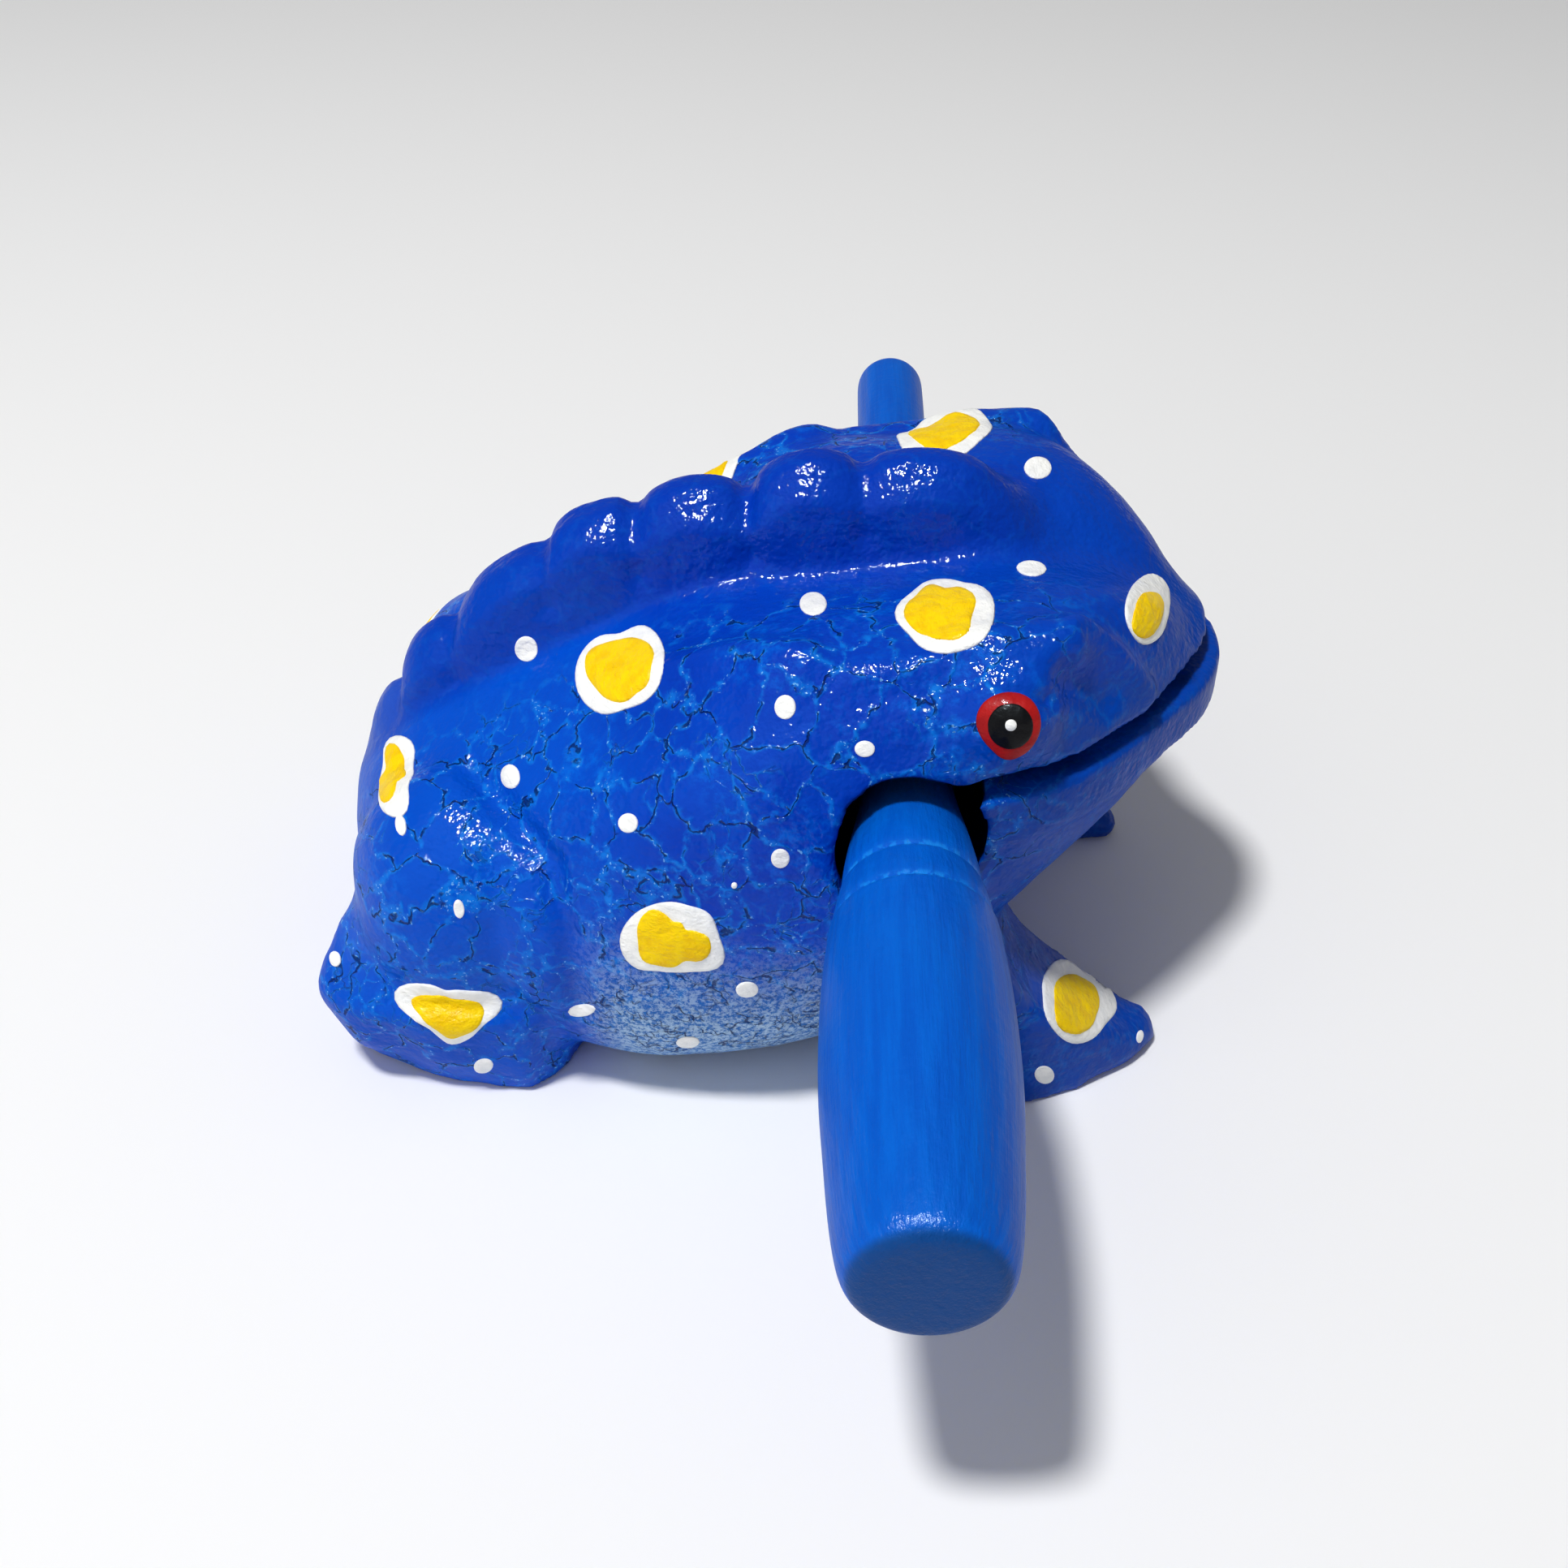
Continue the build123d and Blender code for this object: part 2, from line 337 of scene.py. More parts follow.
# ---- Paint spots --------------------------------------------------------------------------------
# An outline gives twelve radii, every 30 degrees from the right, counter-clockwise, as they are
# seen from the painter's eye on that side of the frog. An egg's two outlines are in the egg's
# own unit, which stands before them in mm, and the eye's rim is in EYE_UNIT.
OUTLINE_POINTS = 12
PAINTER = {-1: VIEW_PLACE, 1: Vector((VIEW_PLACE.x, -VIEW_PLACE.y, VIEW_PLACE.z))}

EGGS = [
    # place, side, unit in mm, white outline, yolk outline
    ((-15.2, -19.4, 71.4), -1, 0.854,
     (5.0, 5.9, 6.2, 4.6, 5.1, 5.5, 5.9, 6.2, 6.0, 4.8, 4.7, 4.8),
     (3.7, 4.6, 4.3, 3.7, 3.8, 4.7, 4.5, 4.0, 4.1, 4.0, 3.5, 3.7)),
    ((17.9, -23.6, 85.4), -1, 0.816,
     (6.2, 6.3, 4.8, 4.5, 4.7, 5.0, 6.1, 5.0, 4.8, 4.7, 4.9, 5.7),
     (3.6, 4.4, 3.9, 3.1, 4.0, 4.1, 5.0, 4.2, 3.5, 3.2, 3.5, 3.8)),
    ((39.2, -16.6, 82.2), -1, 0.837,
     (2.6, 2.9, 3.8, 4.5, 3.8, 3.1, 2.8, 2.9, 3.4, 4.3, 3.7, 2.8),
     (1.7, 1.8, 2.0, 2.0, 2.0, 1.8, 1.7, 2.2, 3.2, 3.6, 2.5, 1.8)),
    ((-40.9, -19.8, 49.6), -1, 0.894,
     (2.1, 2.7, 4.8, 4.9, 2.5, 1.9, 2.0, 2.7, 4.6, 4.9, 2.3, 1.7),
     (1.3, 1.5, 2.7, 4.1, 1.8, 1.4, 1.8, 2.4, 3.7, 1.3, 0.9, 1.0)),
    ((-9.1, -49.2, 42.9), -1, 0.832,
     (5.7, 5.4, 4.5, 4.5, 4.9, 5.8, 6.6, 6.1, 4.5, 4.2, 4.9, 6.9),
     (4.5, 2.2, 2.4, 2.4, 4.4, 4.7, 4.3, 4.5, 3.6, 3.4, 3.1, 4.8)),
    ((-34.8, -43.2, 19.8), -1, 0.889,
     (6.9, 3.9, 2.8, 2.7, 4.4, 6.8, 4.4, 3.1, 3.2, 4.1, 4.4, 4.9),
     (4.5, 2.7, 1.9, 2.1, 2.9, 4.5, 3.2, 2.6, 2.5, 3.2, 3.5, 4.4)),
    ((35.0, -34.6, 15.5), -1, 0.912,
     (4.8, 4.3, 3.7, 4.0, 5.7, 5.2, 4.3, 4.3, 4.6, 5.1, 4.8, 4.3),
     (2.5, 2.5, 2.7, 2.9, 3.6, 3.7, 3.1, 3.3, 3.9, 3.9, 3.5, 2.7)),
    # The frog's left side.
    ((19.4, 24.3, 89.9), 1, 0.92,
     (6.0, 6.4, 6.2, 5.6, 5.4, 5.6, 5.9, 6.2, 6.0, 5.6, 5.8, 6.4),
     (4.4, 4.4, 4.6, 4.1, 3.9, 4.0, 4.4, 4.6, 4.4, 3.9, 4.0, 4.9)),
    ((-9.5, 26.0, 80.0), 1, 0.95,
     (5.4, 5.0, 5.2, 5.8, 5.1, 4.8, 5.5, 5.9, 5.0, 4.9, 5.6, 5.2),
     (3.8, 3.3, 3.7, 4.1, 3.4, 3.3, 3.9, 4.2, 3.4, 3.5, 4.0, 3.4)),
    ((4.0, 49.0, 46.0), 1, 0.84,
     (5.2, 5.8, 5.1, 4.6, 5.0, 5.9, 5.6, 4.9, 4.6, 5.2, 5.9, 5.5),
     (3.2, 4.1, 3.5, 3.0, 3.4, 4.2, 3.8, 3.2, 3.0, 3.6, 4.0, 3.6)),
    ((-36.0, 42.0, 19.0), 1, 0.88,
     (5.8, 4.6, 3.6, 3.5, 4.6, 5.9, 5.6, 4.2, 3.5, 3.9, 4.8, 5.6),
     (3.8, 3.0, 2.3, 2.2, 3.1, 4.0, 3.6, 2.8, 2.3, 2.5, 3.2, 3.9)),
    ((-24.0, 38.0, 50.0), 1, 0.85,
     (4.7, 5.1, 4.8, 4.3, 4.6, 5.2, 4.9, 4.4, 4.3, 4.9, 5.2, 4.6),
     (3.1, 3.5, 3.2, 2.8, 3.0, 3.6, 3.3, 2.9, 2.7, 3.2, 3.5, 3.0)),
    ((35.0, 33.0, 15.0), 1, 0.9,
     (4.4, 4.0, 3.9, 4.4, 4.9, 4.5, 4.2, 4.5, 4.9, 4.7, 4.3, 4.5),
     (2.8, 2.5, 2.5, 2.9, 3.3, 2.9, 2.7, 2.9, 3.3, 3.1, 2.8, 2.9)),
    ((39.0, 23.0, 72.0), 1, 0.84,
     (3.4, 3.6, 3.8, 4.2, 3.9, 3.5, 3.3, 3.4, 3.8, 4.2, 3.9, 3.5),
     (2.0, 2.1, 2.3, 2.7, 2.4, 2.1, 1.9, 2.1, 2.4, 2.6, 2.3, 2.1)),
    ((-46.0, 25.0, 37.0), 1, 0.86,
     (3.4, 3.8, 4.4, 4.6, 4.0, 3.5, 3.3, 3.7, 4.4, 4.7, 4.1, 3.5),
     (2.1, 2.4, 2.9, 3.1, 2.6, 2.2, 2.0, 2.3, 2.8, 3.1, 2.7, 2.2)),
]

DOTS = [
    # place, side, half width and half height in mm
    ((4.7, -13.4, 80.3), -1, 1.45, 1.2),
    ((27.6, -8.3, 84.1), -1, 1.6, 0.8),
    ((28.9, 9.9, 91.7), -1, 1.5, 1.2),
    ((2.2, -38.7, 79.3), -1, 1.05, 1.2),
    ((10.0, -43.1, 75.3), -1, 1.0, 0.8),
    ((-26.6, -8.9, 67.8), -1, 1.25, 1.4),
    ((-26.9, -29.3, 57.8), -1, 1.0, 1.3),
    ((-13.6, -42.0, 59.6), -1, 1.0, 1.0),
    ((1.9, -48.9, 59.2), -1, 0.93, 0.95),
    ((-2.7, -49.3, 54.1), -1, 0.3, 0.3),
    ((-31.9, -42.9, 42.3), -1, 0.55, 1.0),
    ((-38.4, -34.0, 51.5), -1, 0.55, 1.15),
    ((-48.2, -34.2, 22.2), -1, 0.6, 0.9),
    ((-19.6, -45.9, 23.4), -1, 1.5, 0.65),
    ((-1.6, -49.4, 32.4), -1, 1.2, 0.8),
    ((-8.3, -45.8, 16.4), -1, 1.3, 0.6),
    ((-31.8, -42.1, 5.7), -1, 1.1, 0.8),
    ((31.7, -39.3, 2.9), -1, 1.1, 1.0),
    ((43.3, -30.1, 2.7), -1, 0.35, 0.75),
    # The frog's left side.
    ((8.0, 46.0, 66.0), 1, 1.2, 1.1),
    ((3.0, 38.0, 79.0), 1, 1.1, 1.1),
    ((-24.0, 43.0, 58.0), 1, 1.2, 1.2),
    ((-20.0, 46.0, 35.0), 1, 1.0, 1.2),
    ((-11.0, 46.0, 62.0), 1, 1.1, 0.9),
    ((12.0, 45.0, 73.0), 1, 0.9, 0.9),
    ((-8.0, 48.0, 28.0), 1, 1.2, 0.9),
    ((-30.0, 42.0, 5.0), 1, 1.0, 0.8),
    ((-45.0, 36.0, 24.0), 1, 0.8, 1.0),
    ((-3.0, 49.0, 52.0), 1, 0.5, 0.5),
    ((14.0, 46.0, 30.0), 1, 1.0, 1.1),
    ((31.0, 38.0, 4.0), 1, 1.0, 0.9),
    ((-38.0, 36.0, 45.0), 1, 0.9, 1.1),
    ((-49.0, -3.0, 36.0), 1, 0.9, 0.9),
]

EYE_MIDDLE = (23.6, 44.3, 81.0)
EYE_RIM = (3.9, 4.0, 4.1, 4.0, 4.0, 4.1, 4.0, 3.7, 3.7, 4.3, 4.1, 3.9)
EYE_UNIT = 0.78
PUPIL_RADIUS = 2.12
GLINT_RADIUS = 0.55

# How thick the daubs are and how high they start, in mm; small ones need fewer segments.
EGG_WHITE = {"thickness": 0.30}
EGG_YOLK = {"thickness": 0.42, "lift": 0.16}
DOT = {"thickness": 0.22, "segments": 24}
RED_RIM = {"thickness": 0.22}
PUPIL = {"thickness": 0.2, "lift": 0.13}
GLINT = {"thickness": 0.18, "lift": 0.26, "segments": 20}
DAUB_RINGS = 14
# A daub's edge swells fast, as a power of the height on the ball, and its underside is almost flat.
DAUB_EDGE = 0.55
DAUB_UNDERSIDE = 0.15
# Brush lumps on a daub: their share of its thickness and their span in mm.
BIG_LUMPS = (0.45, 1.6)
SMALL_LUMPS = (0.25, 0.7)


def outline_radius(radii, angle):
    """Radius at an angle, smoothly between the given ones."""
    step = math.tau / len(radii)
    place_on_list = (angle % math.tau) / step
    first = int(place_on_list)
    t = place_on_list - first
    a, b, c, d = (radii[(first + k) % len(radii)] for k in (-1, 0, 1, 2))
    return b + 0.5 * t * (c - a + t * (2 * a - 5 * b + 4 * c - d + t * (3 * (b - c) + d - a)))


def add_daub(bm, surface, middle, side, radii, thickness, lift=0.0, segments=48, shift=(0, 0)):
    """Thick daub of paint on the surface, with this outline in mm as the painter sees it."""
    painter = PAINTER[side]
    sight = (middle - painter).normalized()
    right = sight.cross(Vector((0, 0, 1))).normalized()
    upward = right.cross(sight)
    made = bmesh.ops.create_uvsphere(bm, u_segments=segments, v_segments=DAUB_RINGS, radius=1)
    for vert in made["verts"]:
        x, y, z = vert.co
        angle = math.atan2(y, x)
        reach = outline_radius(radii, angle) * min(1.0, math.hypot(x, y))
        across = (reach * math.cos(angle) + shift[0]) * MM
        upwards = (reach * math.sin(angle) + shift[1]) * MM
        aim = (middle + right * across + upward * upwards - painter).normalized()
        hit, normal, _, _ = surface.ray_cast(painter, aim)
        if hit is None:
            hit, normal, _, _ = surface.find_nearest(middle)
        lumps = 1 + sum(
            share * noise.noise(hit / (span * MM)) for share, span in (BIG_LUMPS, SMALL_LUMPS)
        )
        height = thickness * lumps * z**DAUB_EDGE if z > 0 else DAUB_UNDERSIDE * z
        vert.co = hit + normal * (height + lift) * MM


def painted_spots(surface):
    """Egg whites, yolks, dots and eyes, each kind in one piece."""
    whites, yolks, dots = bmesh.new(), bmesh.new(), bmesh.new()
    rims, pupils, glints = bmesh.new(), bmesh.new(), bmesh.new()
    for where, side, unit, white, yolk in EGGS:
        middle = place(*where)
        add_daub(whites, surface, middle, side, [r * unit for r in white], **EGG_WHITE)
        add_daub(yolks, surface, middle, side, [r * unit for r in yolk], **EGG_YOLK)
    for where, side, half_width, half_height in DOTS:
        radii = [
            half_width * half_height
            / math.hypot(half_height * math.cos(a), half_width * math.sin(a))
            for a in np.linspace(0, math.tau, OUTLINE_POINTS, endpoint=False)
        ]
        add_daub(dots, surface, place(*where), side, radii, **DOT)
    for side in (-1, 1):
        x, y, z = EYE_MIDDLE
        middle = place(x, side * y, z)
        pupil, glint = [PUPIL_RADIUS] * OUTLINE_POINTS, [GLINT_RADIUS] * OUTLINE_POINTS
        add_daub(rims, surface, middle, side, [r * EYE_UNIT for r in EYE_RIM], **RED_RIM)
        add_daub(pupils, surface, middle, side, pupil, shift=(-0.15 * side, -0.1), **PUPIL)
        add_daub(glints, surface, middle, side, glint, shift=(-0.2 * side, 0.05), **GLINT)
    return {
        "egg_whites": whites, "egg_yolks": yolks, "white_dots": dots,
        "eye_rims": rims, "eye_pupils": pupils, "eye_glints": glints,
    }


# ---- Materials --------------------------------------------------------------------------


class Finish:
    """Node material with its shader and the position on the object in millimetres."""

    def __init__(self, name):
        self.material = bpy.data.materials.new(name)
        self.material.use_nodes = True
        self.tree = self.material.node_tree
        self.shader = self.tree.nodes["Principled BSDF"]
        coordinates = self.tree.nodes.new("ShaderNodeTexCoord")
        self.position = self.mapped(coordinates.outputs["Object"], (1 / MM, 1 / MM, 1 / MM))

    def node(self, kind, inputs=None, **settings):
        """New node with these settings; an input is a number, a colour or another node's output."""
        made = self.tree.nodes.new(kind)
        for key, value in settings.items():
            setattr(made, key, value)
        for key, value in (inputs or {}).items():
            self.plug(value, made.inputs[key])
        return made

    def plug(self, value, socket):
        if isinstance(value, bpy.types.NodeSocket):
            self.tree.links.new(value, socket)
        else:
            socket.default_value = value

    def mapped(self, vector, scale):
        return self.node("ShaderNodeMapping", {"Vector": vector, "Scale": scale}).outputs[0]

    def noise(self, scale, detail=2.0, rough=0.5, vector=None):
        """Cloudy value about 0.5; the scale is in lumps per millimetre."""
        inputs = {
            "Vector": vector or self.position, "Scale": scale, "Detail": detail, "Roughness": rough,
        }
        return self.node("ShaderNodeTexNoise", inputs).outputs["Fac"]

    def math(self, operation, a, b=0.0):
        made = self.node("ShaderNodeMath", operation=operation)
        self.plug(a, made.inputs[0])
        self.plug(b, made.inputs[1])
        return made.outputs[0]

    def ramp(self, value, low, high, start=0.0, end=1.0):
        """Smooth step of a value from low to high."""
        made = self.node(
            "ShaderNodeMapRange",
            {"Value": value, "From Min": low, "From Max": high, "To Min": start, "To Max": end},
            interpolation_type="SMOOTHSTEP",
        )
        return made.outputs[0]

    def mix(self, share, a, b):
        made = self.node("ShaderNodeMix", data_type="RGBA")
        self.plug(share, made.inputs[0])
        self.plug(a, made.inputs[6])
        self.plug(b, made.inputs[7])
        return made.outputs[2]

    def bump(self, height, distance):
        return self.node(
            "ShaderNodeBump", {"Height": height, "Distance": distance, "Strength": 1.0}
        ).outputs[0]

    def bent(self, vector, scale, reach):
        """Vector pushed about by a noise, up to about half of reach each way."""
        drift = self.node("ShaderNodeTexNoise", {"Vector": vector, "Scale": scale, "Detail": 2.0})
        centred = self.node("ShaderNodeVectorMath", operation="SUBTRACT")
        self.plug(drift.outputs["Color"], centred.inputs[0])
        centred.inputs[1].default_value = (0.5, 0.5, 0.5)
        moved = self.node("ShaderNodeVectorMath", operation="MULTIPLY_ADD")
        self.plug(centred.outputs[0], moved.inputs[0])
        moved.inputs[1].default_value = (reach, reach, reach)
        self.plug(vector, moved.inputs[2])
        return moved.outputs[0]

    def cells(self, vector, scale):
        """Distance to the edge between crackle cells, in cells."""
        made = self.node(
            "ShaderNodeTexVoronoi", {"Vector": vector, "Scale": scale}, feature="DISTANCE_TO_EDGE"
        )
        return made.outputs["Distance"]

    def gloss(self, roughness, level, tint=(1, 1, 1, 1), coat=0.0, coat_roughness=0.1):
        """Gloss that is the same all over the surface."""
        self.shader.inputs["Roughness"].default_value = roughness
        self.shader.inputs["Specular IOR Level"].default_value = level
        self.shader.inputs["Specular Tint"].default_value = tint
        self.shader.inputs["Coat Weight"].default_value = coat
        self.shader.inputs["Coat Roughness"].default_value = coat_roughness

    def set(self, **values):
        for key, value in values.items():
            self.plug(value, self.shader.inputs[key.replace("_", " ")])


# Places on the object that the finishes follow, in mm.
HOLE = (14.9, 38.5)
HOLE_REACH = 8.9
RIM = 33.0
RIM_SLOPE = 0.38
SLIT = 45.0
BUTT = -84.3

# Colours of the lacquer, from the coat itself to what shows through it, and the painted shade, sheen
# and glints.
DEEP_BLUE = (0.0, 0.036, 0.42, 1)
CLOUD_BLUE = (0.0, 0.052, 0.49, 1)
RUMP_BLUE = (0.0, 0.110, 0.68, 1)
HEAD_BLUE = (0.0, 0.052, 0.36, 1)
BACK_BLUE = (0.0, 0.044, 0.48, 1)
FIN_BLUE = (0.0, 0.030, 0.38, 1)
THIN_WASH = (0.0, 0.165, 0.76, 1)
WORN_RIM = (0.004, 0.24, 0.80, 1)
# Painted highlight: pale specks standing in for glints of the gloss.
PAINTED_GLINT = (0.25, 0.62, 0.92, 1)
BELLY_SPECK = (0.01, 0.14, 0.46, 1)
BELLY_PALE = (0.40, 0.58, 0.76, 1)
# Painted sheen over the rump.
RUMP_SHEEN = (0.10, 0.20, 0.60, 1)
OPEN_CRACK = (0.0, 0.010, 0.10, 1)
# Painted shade: near black inside the hole and the saw cut.
OPENING_SHADE = (0.0, 0.002, 0.024, 1)
LACQUER_SHINE = (0.25, 0.55, 1.0, 1)
LACQUER_RELIEF = 0.28 * MM

# Colours of the stick's stain, and the painted shade on its butt.
STAIN = (0.0, 0.088, 0.53, 1)
LIGHT_STREAK = (0.0, 0.112, 0.60, 1)
DARK_THREAD = (0.0, 0.070, 0.45, 1)
STAIN_CLOUD = (0.0, 0.13, 0.62, 1)
STAIN_MOTTLE = (0.0, 0.16, 0.66, 1)
RUBBED_RING = (0.01, 0.27, 0.80, 1)
# Painted shade on the butt's end face.
BUTT_SHADE = (0.003, 0.052, 0.22, 1)
STAIN_SHINE = (0.4, 0.7, 1.0, 1)
GRAIN_RELIEF = 0.16 * MM

PAINT_RELIEF = 0.3 * MM


def opening_shade_mask(f, x, z, out_from_middle):
    """1 inside the hole through the mouth corners and the saw cut, where near black is painted in as
    shade.
    """
    across_hole = f.math("SUBTRACT", x, HOLE[0])
    up_hole = f.math("SUBTRACT", z, HOLE[1])
    squares = f.math("ADD", f.math("POWER", across_hole, 2.0), f.math("POWER", up_hole, 2.0))
    bore = f.ramp(f.math("SQRT", squares), HOLE_REACH + 0.1, HOLE_REACH - 0.2)
    # The rim lies deeper towards the jaw.
    towards_jaw = f.math("MAXIMUM", across_hole, 0.0)
    from_rim = f.math("ADD", out_from_middle, f.math("MULTIPLY", towards_jaw, RIM_SLOPE))
    bore = f.math("MULTIPLY", bore, f.ramp(from_rim, RIM + 0.6, RIM - 1.6))
    from_slit = f.math("ABSOLUTE", f.math("SUBTRACT", z, SLIT))
    slit = f.math("MULTIPLY", f.ramp(from_slit, 1.25, 0.95), f.ramp(x, HOLE[0] - 1, HOLE[0] + 1))
    return f.math("MAXIMUM", bore, slit)


def lacquer_crackle(f, x, out_from_middle, bent, broken):
    """Crackle that is open on the flanks and almost closed on the fin, head and jaw.

    Gives how crackled a place is, the lifted rims, and the open cracks, wide and small.
    """
    open_flank = f.ramp(out_from_middle, 7.0, 17.0, 0.12, 1.0)
    behind_head = f.ramp(x, 34.0, 20.0, 0.25, 1.0)
    crackled = f.math("MULTIPLY", open_flank, behind_head)
    wide_cells, small_cells = f.cells(bent, 0.17), f.cells(bent, 0.42)
    fine_patches = f.ramp(f.noise(0.10, 2.0, vector=bent), 0.50, 0.62)

    wide_rim = f.math("MULTIPLY", f.ramp(wide_cells, 0.0, 0.085, 1, 0), crackled)
    small_rim = f.math("MULTIPLY", f.ramp(small_cells, 0.0, 0.12, 1, 0), crackled)
    small_rim = f.math("MULTIPLY", small_rim, fine_patches)
    rims = f.math("MAXIMUM", wide_rim, f.math("MULTIPLY", small_rim, 0.8))

    crack = f.math("MULTIPLY", f.ramp(wide_cells, 0.006, 0.021, 1, 0), broken)
    crack = f.math("MULTIPLY", crack, f.ramp(crackled, 0.3, 0.7))
    small_crack = f.math("MULTIPLY", f.ramp(small_cells, 0.008, 0.030, 1, 0), fine_patches)
    small_crack = f.math("MULTIPLY", f.math("MULTIPLY", small_crack, broken), crackled)
    return crackled, rims, crack, small_crack


def blue_coat(f, x, z, out_from_middle, crackled, rims):
    """Colour of the coat: clouds, a thin wash where it wore, light rims by the cracks, and painted
    glints on the rims.
    """
    cloud = f.ramp(f.noise(0.09, 4.0, 0.6), 0.35, 0.68)
    colour = f.mix(cloud, DEEP_BLUE, CLOUD_BLUE)
    colour = f.mix(f.ramp(x, -6.0, -30.0, 0, 0.45), colour, RUMP_BLUE)
    colour = f.mix(f.ramp(x, 8.0, 28.0, 0, 0.75), colour, HEAD_BLUE)
    on_top = f.ramp(z, 50.0, 54.0)
    colour = f.mix(f.math("MULTIPLY", on_top, 0.5), colour, BACK_BLUE)
    fin = f.math("MULTIPLY", f.ramp(out_from_middle, 8.0, 5.5), f.ramp(x, 34.0, 24.0))
    colour = f.mix(f.math("MULTIPLY", fin, 0.6), colour, FIN_BLUE)

    patches = f.ramp(f.noise(0.075, 2.0), 0.42, 0.58)
    wash = f.math("MULTIPLY", f.ramp(f.noise(0.55, 5.0, 0.7), 0.46, 0.72), crackled)
    wash = f.math("MULTIPLY", wash, patches)
    colour = f.mix(f.math("MULTIPLY", wash, 0.5), colour, THIN_WASH)
    wear = f.ramp(f.noise(0.9, 3.0, 0.6), 0.35, 0.60)
    worn = f.math("MULTIPLY", f.math("MULTIPLY", rims, wear), 0.55)
    colour = f.mix(worn, colour, WORN_RIM)
    # Painted highlights: pale specks on the crack rims stand in for glints of the gloss.
    painted_glints = f.math("MULTIPLY", f.ramp(f.noise(2.6, 2.0), 0.62, 0.68), f.ramp(rims, 0.3, 0.8))
    return f.mix(f.math("MULTIPLY", painted_glints, 0.5), colour, PAINTED_GLINT)


def pale_belly(f, x, z):
    """How far a place is on the pale belly, and the belly's colour, dusted with blue specks."""
    height = f.math("ADD", z, f.math("MULTIPLY", f.noise(0.10, 3.0), 9.0))
    belly = f.math("MULTIPLY", f.ramp(height, 36.0, 17.0), f.ramp(x, -22.0, -14.0))
    belly = f.math("MULTIPLY", belly, f.ramp(x, 22.0, 12.0))
    dust = f.ramp(f.noise(1.7, 4.0, 0.8), 0.42, 0.58)
    return belly, f.mix(dust, BELLY_SPECK, BELLY_PALE)


def blue_lacquer():
    """Deep blue gloss paint; its crackle shows a lighter coat, and it is paler on the belly."""
    f = Finish("blue_lacquer")
    x, y, z = f.node("ShaderNodeSeparateXYZ", {"Vector": f.position}).outputs
    out_from_middle = f.math("ABSOLUTE", y)
    bent = f.bent(f.bent(f.position, 0.20, 5.5), 1.1, 0.9)
    broken = f.ramp(f.noise(0.42, 2.0), 0.47, 0.56)
    crackled, rims, crack, small_crack = lacquer_crackle(f, x, out_from_middle, bent, broken)
    colour = blue_coat(f, x, z, out_from_middle, crackled, rims)
    belly, pale = pale_belly(f, x, z)
    colour = f.mix(f.math("MULTIPLY", belly, 0.92), colour, pale)
    belly_crack = f.ramp(f.cells(bent, 0.62), 0.01, 0.06, 0.8, 0)
    belly_crack = f.math("MULTIPLY", f.math("MULTIPLY", belly_crack, belly), broken)

    # Painted sheen: a thin violet haze over the rump stands in for the glancing reflection of the
    # gloss there.
    painted_sheen = f.math("MULTIPLY", f.ramp(x, -38.0, -47.0), f.ramp(z, 14.0, 22.0))
    colour = f.mix(f.math("MULTIPLY", painted_sheen, 0.3), colour, RUMP_SHEEN)

    dark = f.math("MAXIMUM", crack, f.math("MULTIPLY", small_crack, 0.45))
    dark = f.math("MAXIMUM", dark, belly_crack)
    colour = f.mix(f.math("MULTIPLY", dark, 0.85), colour, OPEN_CRACK)
    # Painted shade: the hole and the saw cut are painted near black, as if in shadow.
    colour = f.mix(opening_shade_mask(f, x, z, out_from_middle), colour, OPENING_SHADE)

    # Relief: brush waves, orange peel, lifted rims and open cracks, and a fine grit in the gloss.
    waves = f.math("MULTIPLY", f.noise(0.30, 3.0), 1.2)
    peel = f.math("MULTIPLY", f.noise(1.25, 1.5, 0.5), 0.62)
    edges = f.math("SUBTRACT", f.math("MULTIPLY", rims, 0.18), f.math("MULTIPLY", dark, 0.8))
    relief = f.math("ADD", f.math("ADD", waves, peel), edges)
    grit = f.math("ADD", relief, f.math("MULTIPLY", f.noise(2.3, 2.0, 0.6), 0.10))
    f.set(
        Base_Color=colour,
        Normal=f.bump(relief, LACQUER_RELIEF),
        Coat_Normal=f.bump(grit, LACQUER_RELIEF),
    )
    f.gloss(0.5, 0.03, tint=LACQUER_SHINE, coat=0.22, coat_roughness=0.05)
    return f.material


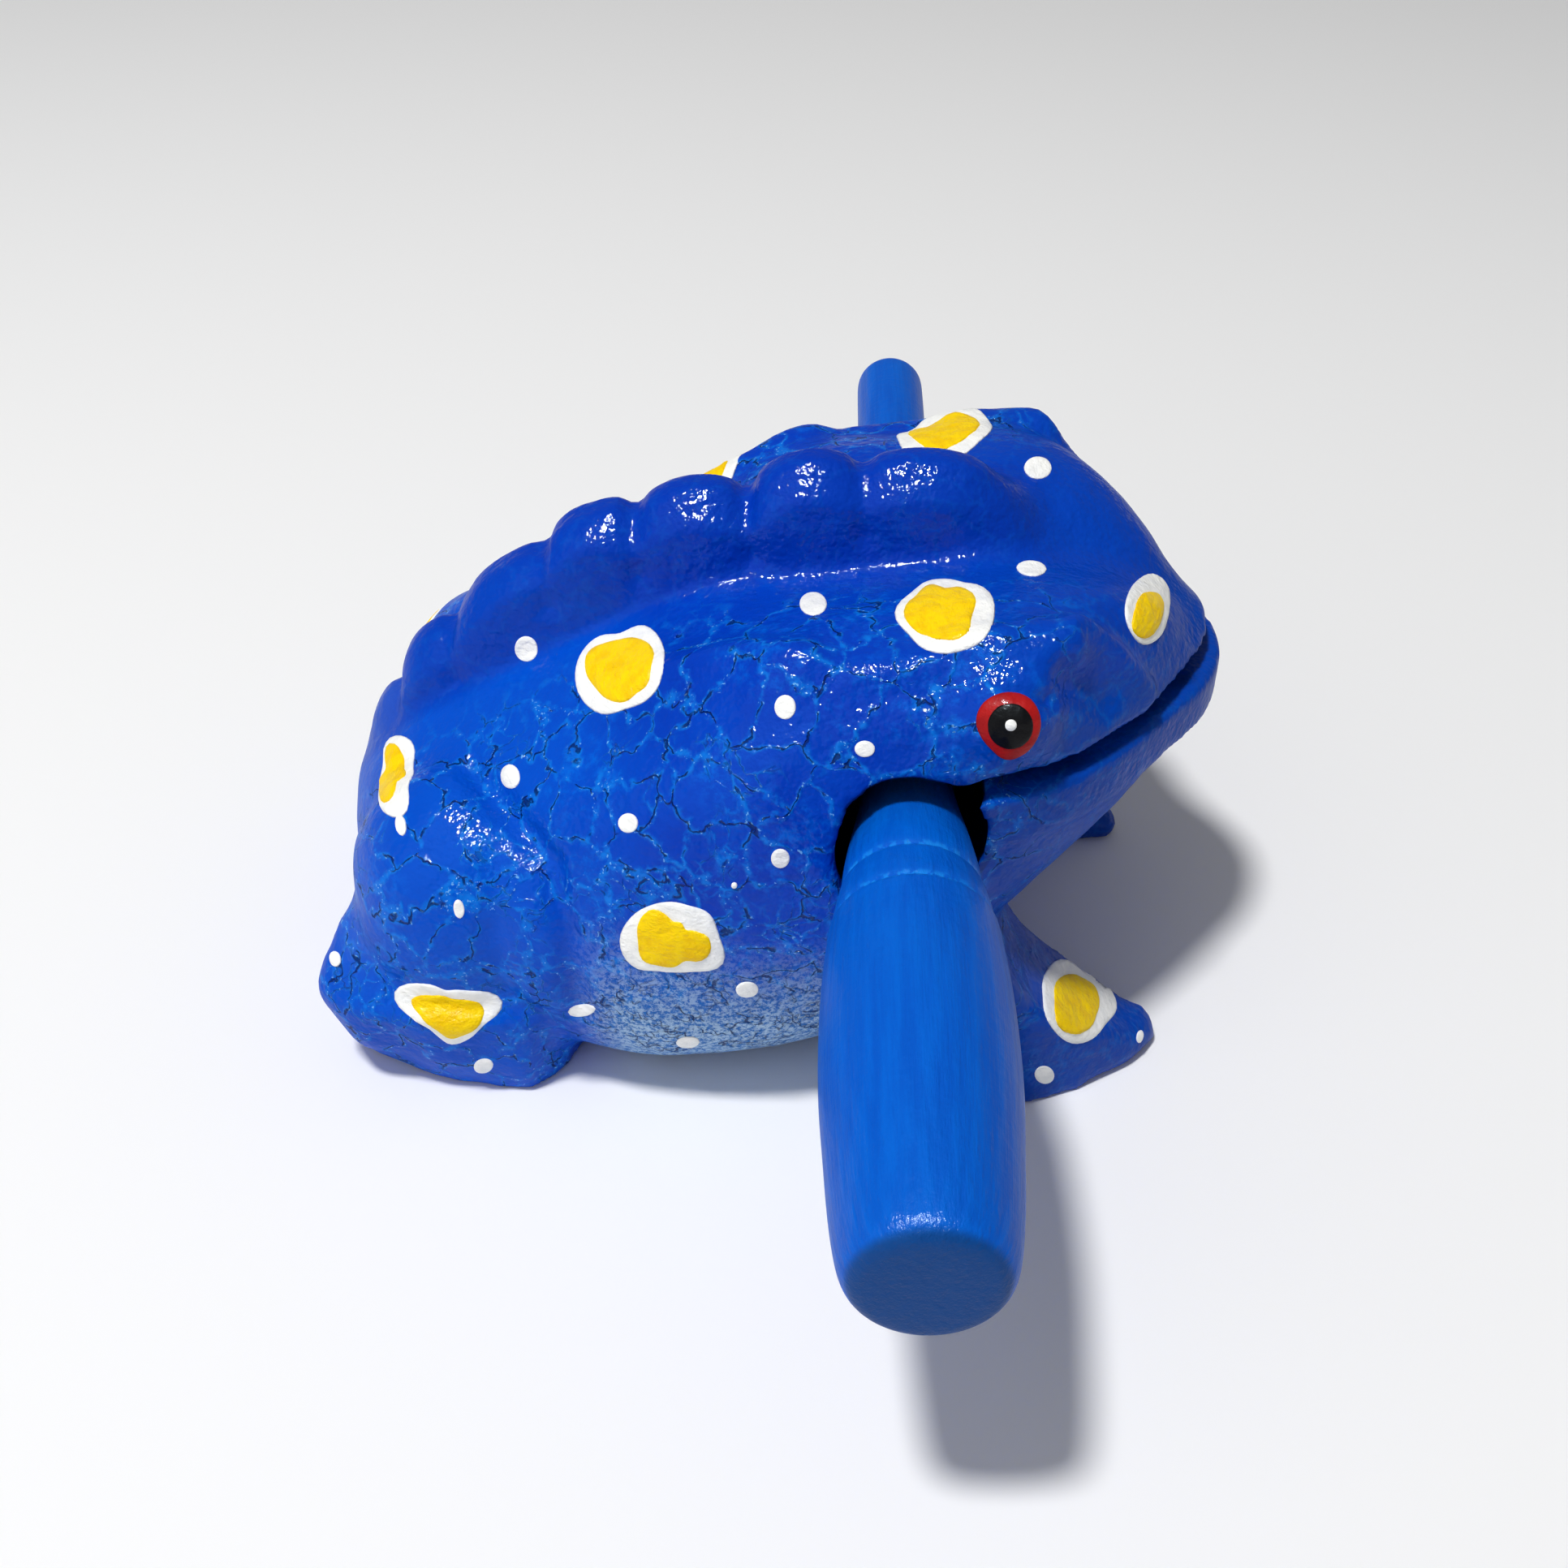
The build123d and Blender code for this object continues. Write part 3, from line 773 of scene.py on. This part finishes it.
def stick_stain():
    """Blue stain on turned wood: fine streaks along the grain and a soft sheen."""
    f = Finish("stick_stain")
    y = f.node("ShaderNodeSeparateXYZ", {"Vector": f.position}).outputs["Y"]
    grain = f.mapped(f.position, (1.0, 0.05, 1.0))
    streaks = f.noise(1.0, 5.0, 0.6, vector=grain)
    threads = f.noise(3.0, 3.0, 0.6, vector=grain)
    cloud = f.noise(0.06, 3.0)
    mottle = f.noise(2.2, 3.0, 0.7)
    colour = f.mix(f.ramp(streaks, 0.36, 0.66), STAIN, LIGHT_STREAK)
    colour = f.mix(f.math("MULTIPLY", f.ramp(threads, 0.58, 0.75), 0.35), colour, DARK_THREAD)
    colour = f.mix(f.math("MULTIPLY", f.ramp(cloud, 0.4, 0.7), 0.25), colour, STAIN_CLOUD)
    colour = f.mix(f.math("MULTIPLY", f.ramp(mottle, 0.5, 0.8), 0.12), colour, STAIN_MOTTLE)

    # Rubbed edges of the two scored rings at the neck.
    from_rings = [
        f.math("ABSOLUTE", f.math("SUBTRACT", y, BUTT + ring)) for ring in SCORED_RINGS
    ]
    near_ring = f.ramp(f.math("MINIMUM", *from_rings), 0.9, 0.25)
    rubbed = f.math("MULTIPLY", near_ring, f.ramp(f.noise(1.3, 2.0), 0.46, 0.58))
    colour = f.mix(f.math("MULTIPLY", rubbed, 0.6), colour, RUBBED_RING)

    # Painted shade: the end face of the butt is painted dark, as it looks in shade.
    butt_shade = f.ramp(y, BUTT + 1.2, BUTT + 0.4)
    colour = f.mix(f.math("MULTIPLY", butt_shade, 0.92), colour, BUTT_SHADE)
    relief = f.math("ADD", streaks, f.math("MULTIPLY", threads, 0.5))
    relief = f.math("ADD", relief, f.math("MULTIPLY", f.noise(0.9, 3.0, 0.6), 0.7))
    normal = f.bump(relief, GRAIN_RELIEF)
    f.set(Base_Color=colour, Normal=normal, Coat_Normal=normal)
    f.gloss(0.5, 0.06, tint=STAIN_SHINE, coat=0.16, coat_roughness=0.16)
    return f.material


def craft_paint(name, light, shade, waves=0.9):
    """Thick hand-daubed paint: brush ridges and a slightly uneven colour."""
    f = Finish(name)
    cloud = f.ramp(f.noise(0.55, 4.0, 0.6), 0.40, 0.70)
    brush = f.noise(1.1, 3.0, 0.6, vector=f.mapped(f.position, (1.0, 0.6, 1.6)))
    colour = f.mix(cloud, light, shade)
    normal = f.bump(f.math("MULTIPLY", brush, waves), PAINT_RELIEF)
    f.set(Base_Color=colour, Normal=normal, Coat_Normal=normal)
    f.gloss(0.45, 0.06, coat=0.12, coat_roughness=0.12)
    return f.material


# ---- Studio ---------------------------------------------------------------------------------


LAMP_TARGET = Vector((0, 0, 0.03))
FLOOR_REACH = 3
FLOOR_SHADE = 0.93
ROOM_LIGHT = 0.20


def studio():
    """Plain pale floor in a softly lit white room."""
    bm = bmesh.new()
    bmesh.ops.create_grid(bm, x_segments=1, y_segments=1, size=FLOOR_REACH)
    floor = new_piece("floor", bm, smooth=False)
    paper = bpy.data.materials.new("floor_paper")
    paper.use_nodes = True
    sheet = paper.node_tree.nodes["Principled BSDF"]
    sheet.inputs["Base Color"].default_value = (FLOOR_SHADE, FLOOR_SHADE, FLOOR_SHADE, 1)
    sheet.inputs["Roughness"].default_value = 0.9
    sheet.inputs["Specular IOR Level"].default_value = 0.0
    floor.data.materials.append(paper)
    world = bpy.data.worlds.new("room")
    world.use_nodes = True
    sky = world.node_tree.nodes["Background"]
    sky.inputs["Color"].default_value = (1, 1, 1, 1)
    sky.inputs["Strength"].default_value = ROOM_LIGHT
    bpy.context.scene.world = world
    bpy.context.scene.view_settings.view_transform = "Standard"


def add_lamp(name, where, size, power, colour=(1, 1, 1)):
    """Round lamp of this size in metres and power in watts, aimed at the frog's belly."""
    light = bpy.data.lights.new(name, "AREA")
    light.shape = "DISK"
    light.size = size
    light.energy = power
    light.color = colour
    lamp = bpy.data.objects.new(name, light)
    bpy.context.scene.collection.objects.link(lamp)
    lamp.location = where
    lamp.rotation_euler = (LAMP_TARGET - Vector(where)).to_track_quat("-Z", "Y").to_euler()
    return lamp


# ---- The scene ------------------------------------------------------------------------------
add_camera()

frog = carved_body()
frog.data.materials.append(blue_lacquer())
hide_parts("frog_body")
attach(frog, "frog_body")

stick = turned_stick()
stick.data.materials.append(stick_stain())
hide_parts("stick")
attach(stick, "stick")

white_paint = craft_paint("white_paint", (0.95, 0.95, 0.92, 1), (0.86, 0.87, 0.86, 1))
yolk_paint = craft_paint("yolk_paint", (1.0, 0.68, 0.0, 1), (0.92, 0.56, 0.0, 1), waves=1.2)
red_paint = craft_paint("red_paint", (0.44, 0.010, 0.010, 1), (0.32, 0.006, 0.008, 1), waves=0.4)
black_paint = craft_paint(
    "black_paint", (0.003, 0.003, 0.004, 1), (0.006, 0.006, 0.007, 1), waves=0.3
)
PAINTS = {
    "egg_whites": white_paint, "egg_yolks": yolk_paint, "white_dots": white_paint,
    "eye_rims": red_paint, "eye_pupils": black_paint, "eye_glints": white_paint,
}
surface = BVHTree.FromObject(frog, bpy.context.evaluated_depsgraph_get())
for name, daubs in painted_spots(surface).items():
    piece = new_piece(name, daubs)
    piece.data.materials.append(PAINTS[name])
    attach(piece, "frog_body")

studio()
add_lamp("key", (-0.22, -0.26, 0.95), size=0.12, power=7.6)
# A small lamp that only shows as sparks on the gloss.
sparkle = add_lamp("sparkle", (-0.16, -0.30, 0.95), size=0.16, power=22, colour=(0.72, 0.92, 1.0))
sparkle.visible_diffuse = False
add_lamp("fill", (-0.9, -1.0, 0.9), size=2.0, power=5.0)
